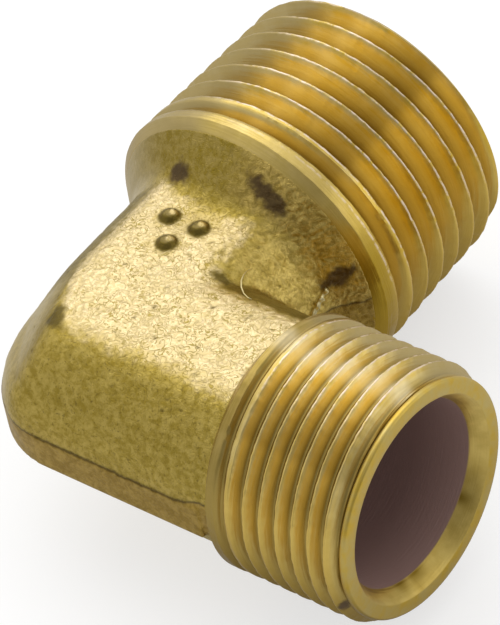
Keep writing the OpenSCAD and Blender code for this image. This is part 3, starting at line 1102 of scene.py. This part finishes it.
def turned_brass(name, body, pale, shade, face, blank, per_mm):
    """A turned end's brass, with fine marks round its axis, and painted light and shade: paler tops and flanks,
    painted highlights and reflections, and painted shade in roots, the groove, the blank's low side and
    underneath.
    """
    n = Nodes(name)
    mottle = n.ramp(n.noise(1.6, 4.0), 0.35, 0.65)
    marks = n.ramp(n.streaks(per_mm), 0.38, 0.62)
    tone = n.plus(n.times(mottle, 0.6), n.times(marks, 0.4))
    colour = n.mix(tone, body, pale)
    # Painted light: the top is paler, and so are flanks away from the lit angle
    colour = n.mix(n.mask("top"), colour, n.mix(tone, pale, TURNED_PAINTED_LIGHT))
    # Painted light: the flanks' low parts are paler, against the shade that bounced light puts there
    deep = n.flipped(n.mask("band"))
    colour = n.mix(n.times(deep, 0.7), colour, LOW_FLANK)
    dim = n.flipped(n.mask("lit"))
    colour = n.mix(n.times(n.times(n.mask("band"), dim), 0.3), colour, TURNED_PAINTED_LIGHT)
    # Painted shade in the thread's roots
    colour = n.tinted(colour, "root", 0.6, shade)
    # The blank's low side takes a darker tone: painted shade
    colour = n.mix(n.mask("blank"), colour, n.mix(n.mask("top"), blank[2], n.mix(tone, *blank[:2])))
    # Painted reflection: a tan-grey band over an arc round the axis
    colour = n.tinted(colour, "reflected_tan", 0.7, REFLECTED_TAN)
    # Painted reflection: dark bands over arcs round the axis
    colour = n.tinted(colour, "dark_reflection", 0.42, DARK_REFLECTION_BROWN)
    # Painted highlight: a cream band over a short arc round the axis
    colour = n.mix(n.mask("cream_highlight"), colour, HIGHLIGHT_CREAM)
    soft = n.ramp(n.noise(1.2, 3.0), 0.25, 0.75)
    colour = n.mix(n.mask("face"), colour, n.mix(soft, face, body))
    colour = n.mix(n.mask("mouth"), colour, n.mix(soft, MOUTH_GOLD, MOUTH_PALE))
    colour = n.tinted(colour, "nick", 0.95, shade)
    # Painted shade on the undersides
    colour = n.tinted(colour, "under", 0.85, shade)
    # Painted shade in the relief groove behind the nose
    colour = n.tinted(colour, "groove", 0.85, GROOVE_SHADE)
    # Painted highlight: pale pink crest lines where the lit mask is set, broken up by noise
    rubbed = n.times(n.ramp(n.noise(0.5, 3.0), 0.35, 0.6), n.mask("lit"))
    colour = n.mix(n.times(n.mask("crest"), rubbed), colour, CREST_HIGHLIGHT_PINK)
    colour = n.tinted(colour, "notch", 0.92, PURPLE_BROWN)
    # Painted shade inside the holes
    colour = n.mix(n.mask("bore"), colour, BORE_SHADE)
    roughness = n.plus(n.times(n.noise(0.3, 2.0), 0.12), 0.30)
    fine = n.bump(marks, 0.006, n.bump(n.noise(0.2, 2.0), 0.005))
    bare_brass(n)
    return n.finish(colour, roughness, fine)


def floor_white():
    """The floor's white, which glows less in reflections."""
    n = Nodes("floor_white")
    reflected = n.node("LightPath", {}).outputs["Is Glossy Ray"]
    n.finish(FLOOR_GREY, 0.9, n.bump(n.noise(3.0), 0.001))
    glow = n.plus(n.times(reflected, -0.44), 0.62)
    for title, value in (
        ("Emission Color", (1, 1, 1)),
        ("Emission Strength", glow),
        ("Metallic", 0.0),
        ("Specular IOR Level", 0.1),
    ):
        n.put(n.shader.inputs[title], value)
    return n.material


# ------------------------ studio
def make_floor():
    """A wide sheet under the lowest point of the part."""
    low = min(corner[2] for corner in CAD_BOX)
    mesh = bpy.data.meshes.new("floor")
    corners = [(FLOOR_HALF * x, FLOOR_HALF * y, low) for x, y in ((-1, -1), (1, -1), (1, 1), (-1, 1))]
    mesh.from_pydata(corners, [], [(0, 1, 2, 3)])
    floor = placed("floor", mesh)
    mesh.materials.append(floor_white())


def make_world():
    """A pale tent: brightest above the far side and dim round the camera."""
    world = bpy.data.worlds.new("tent")
    bpy.context.scene.world = world
    world.use_nodes = True
    n = Tree(world.node_tree)
    around = n.node("TexCoord", {}).outputs["Generated"]
    total = None
    for direction, low, high, gain in TENT:
        base = TENT_BASE if total is None else 0
        facing = n.node("VectorMath", {0: around, 1: Vector(direction).normalized()}, operation="DOT_PRODUCT")
        part = n.ramp(facing.outputs["Value"], low, high, (base, gain + base))
        total = part if total is None else n.plus(total, part)
    diffuse = n.node("LightPath", {}).outputs["Is Diffuse Ray"]
    background = n.tree.nodes["Background"]
    n.put(background.inputs["Strength"], n.maths("MULTIPLY_ADD", diffuse, FLOOR_FILL, total))
    background.inputs["Color"].default_value = (1, 1, 1, 1)


def make_light(name, direction, distance, size, power):
    """A round lamp that looks at the part from a direction."""
    data = bpy.data.lights.new(name, "AREA")
    data.shape = "DISK"
    data.size = size
    data.energy = power
    light = placed(name, data)
    towards = Vector(direction).normalized()
    light.location = towards * distance
    light.rotation_euler = towards.to_track_quat("Z", "Y").to_euler()


def in_view_tree(objects):
    """A search tree over the objects' surfaces, in mm."""
    tree_places, tree_faces = [], []
    for item in objects:
        offset = len(tree_places)
        tree_places += [tuple(vertex.co / MM) for vertex in item.data.vertices]
        tree_faces += [tuple(offset + k for k in face.vertices) for face in item.data.polygons]
    return BVHTree.FromPolygons(tree_places, tree_faces)


bpy.context.scene.view_settings.view_transform = "Standard"
bpy.context.scene.cycles.use_denoising = True
make_camera()
forging = forged_skin()
tube = tube_end()
pipe = pipe_end()
for piece, material, slot_name in (
    (forging, forged_brass(), "forged_brass"),
    (tube, turned_brass(*TUBE_BRASS), "turned_brass_tube_end"),
    (pipe, turned_brass(*PIPE_BRASS), "turned_brass_pipe_end"),
):
    piece.data.materials.append(material)
forging_tree = in_view_tree([forging])
for piece in (curl(forging_tree), crotch_flash(forging_tree)):
    piece.data.materials.append(bpy.data.materials["forged_brass"])
make_floor()
make_world()
make_light("key", (-0.45, 0.35, 0.85), 0.5, 0.45, 0.4)
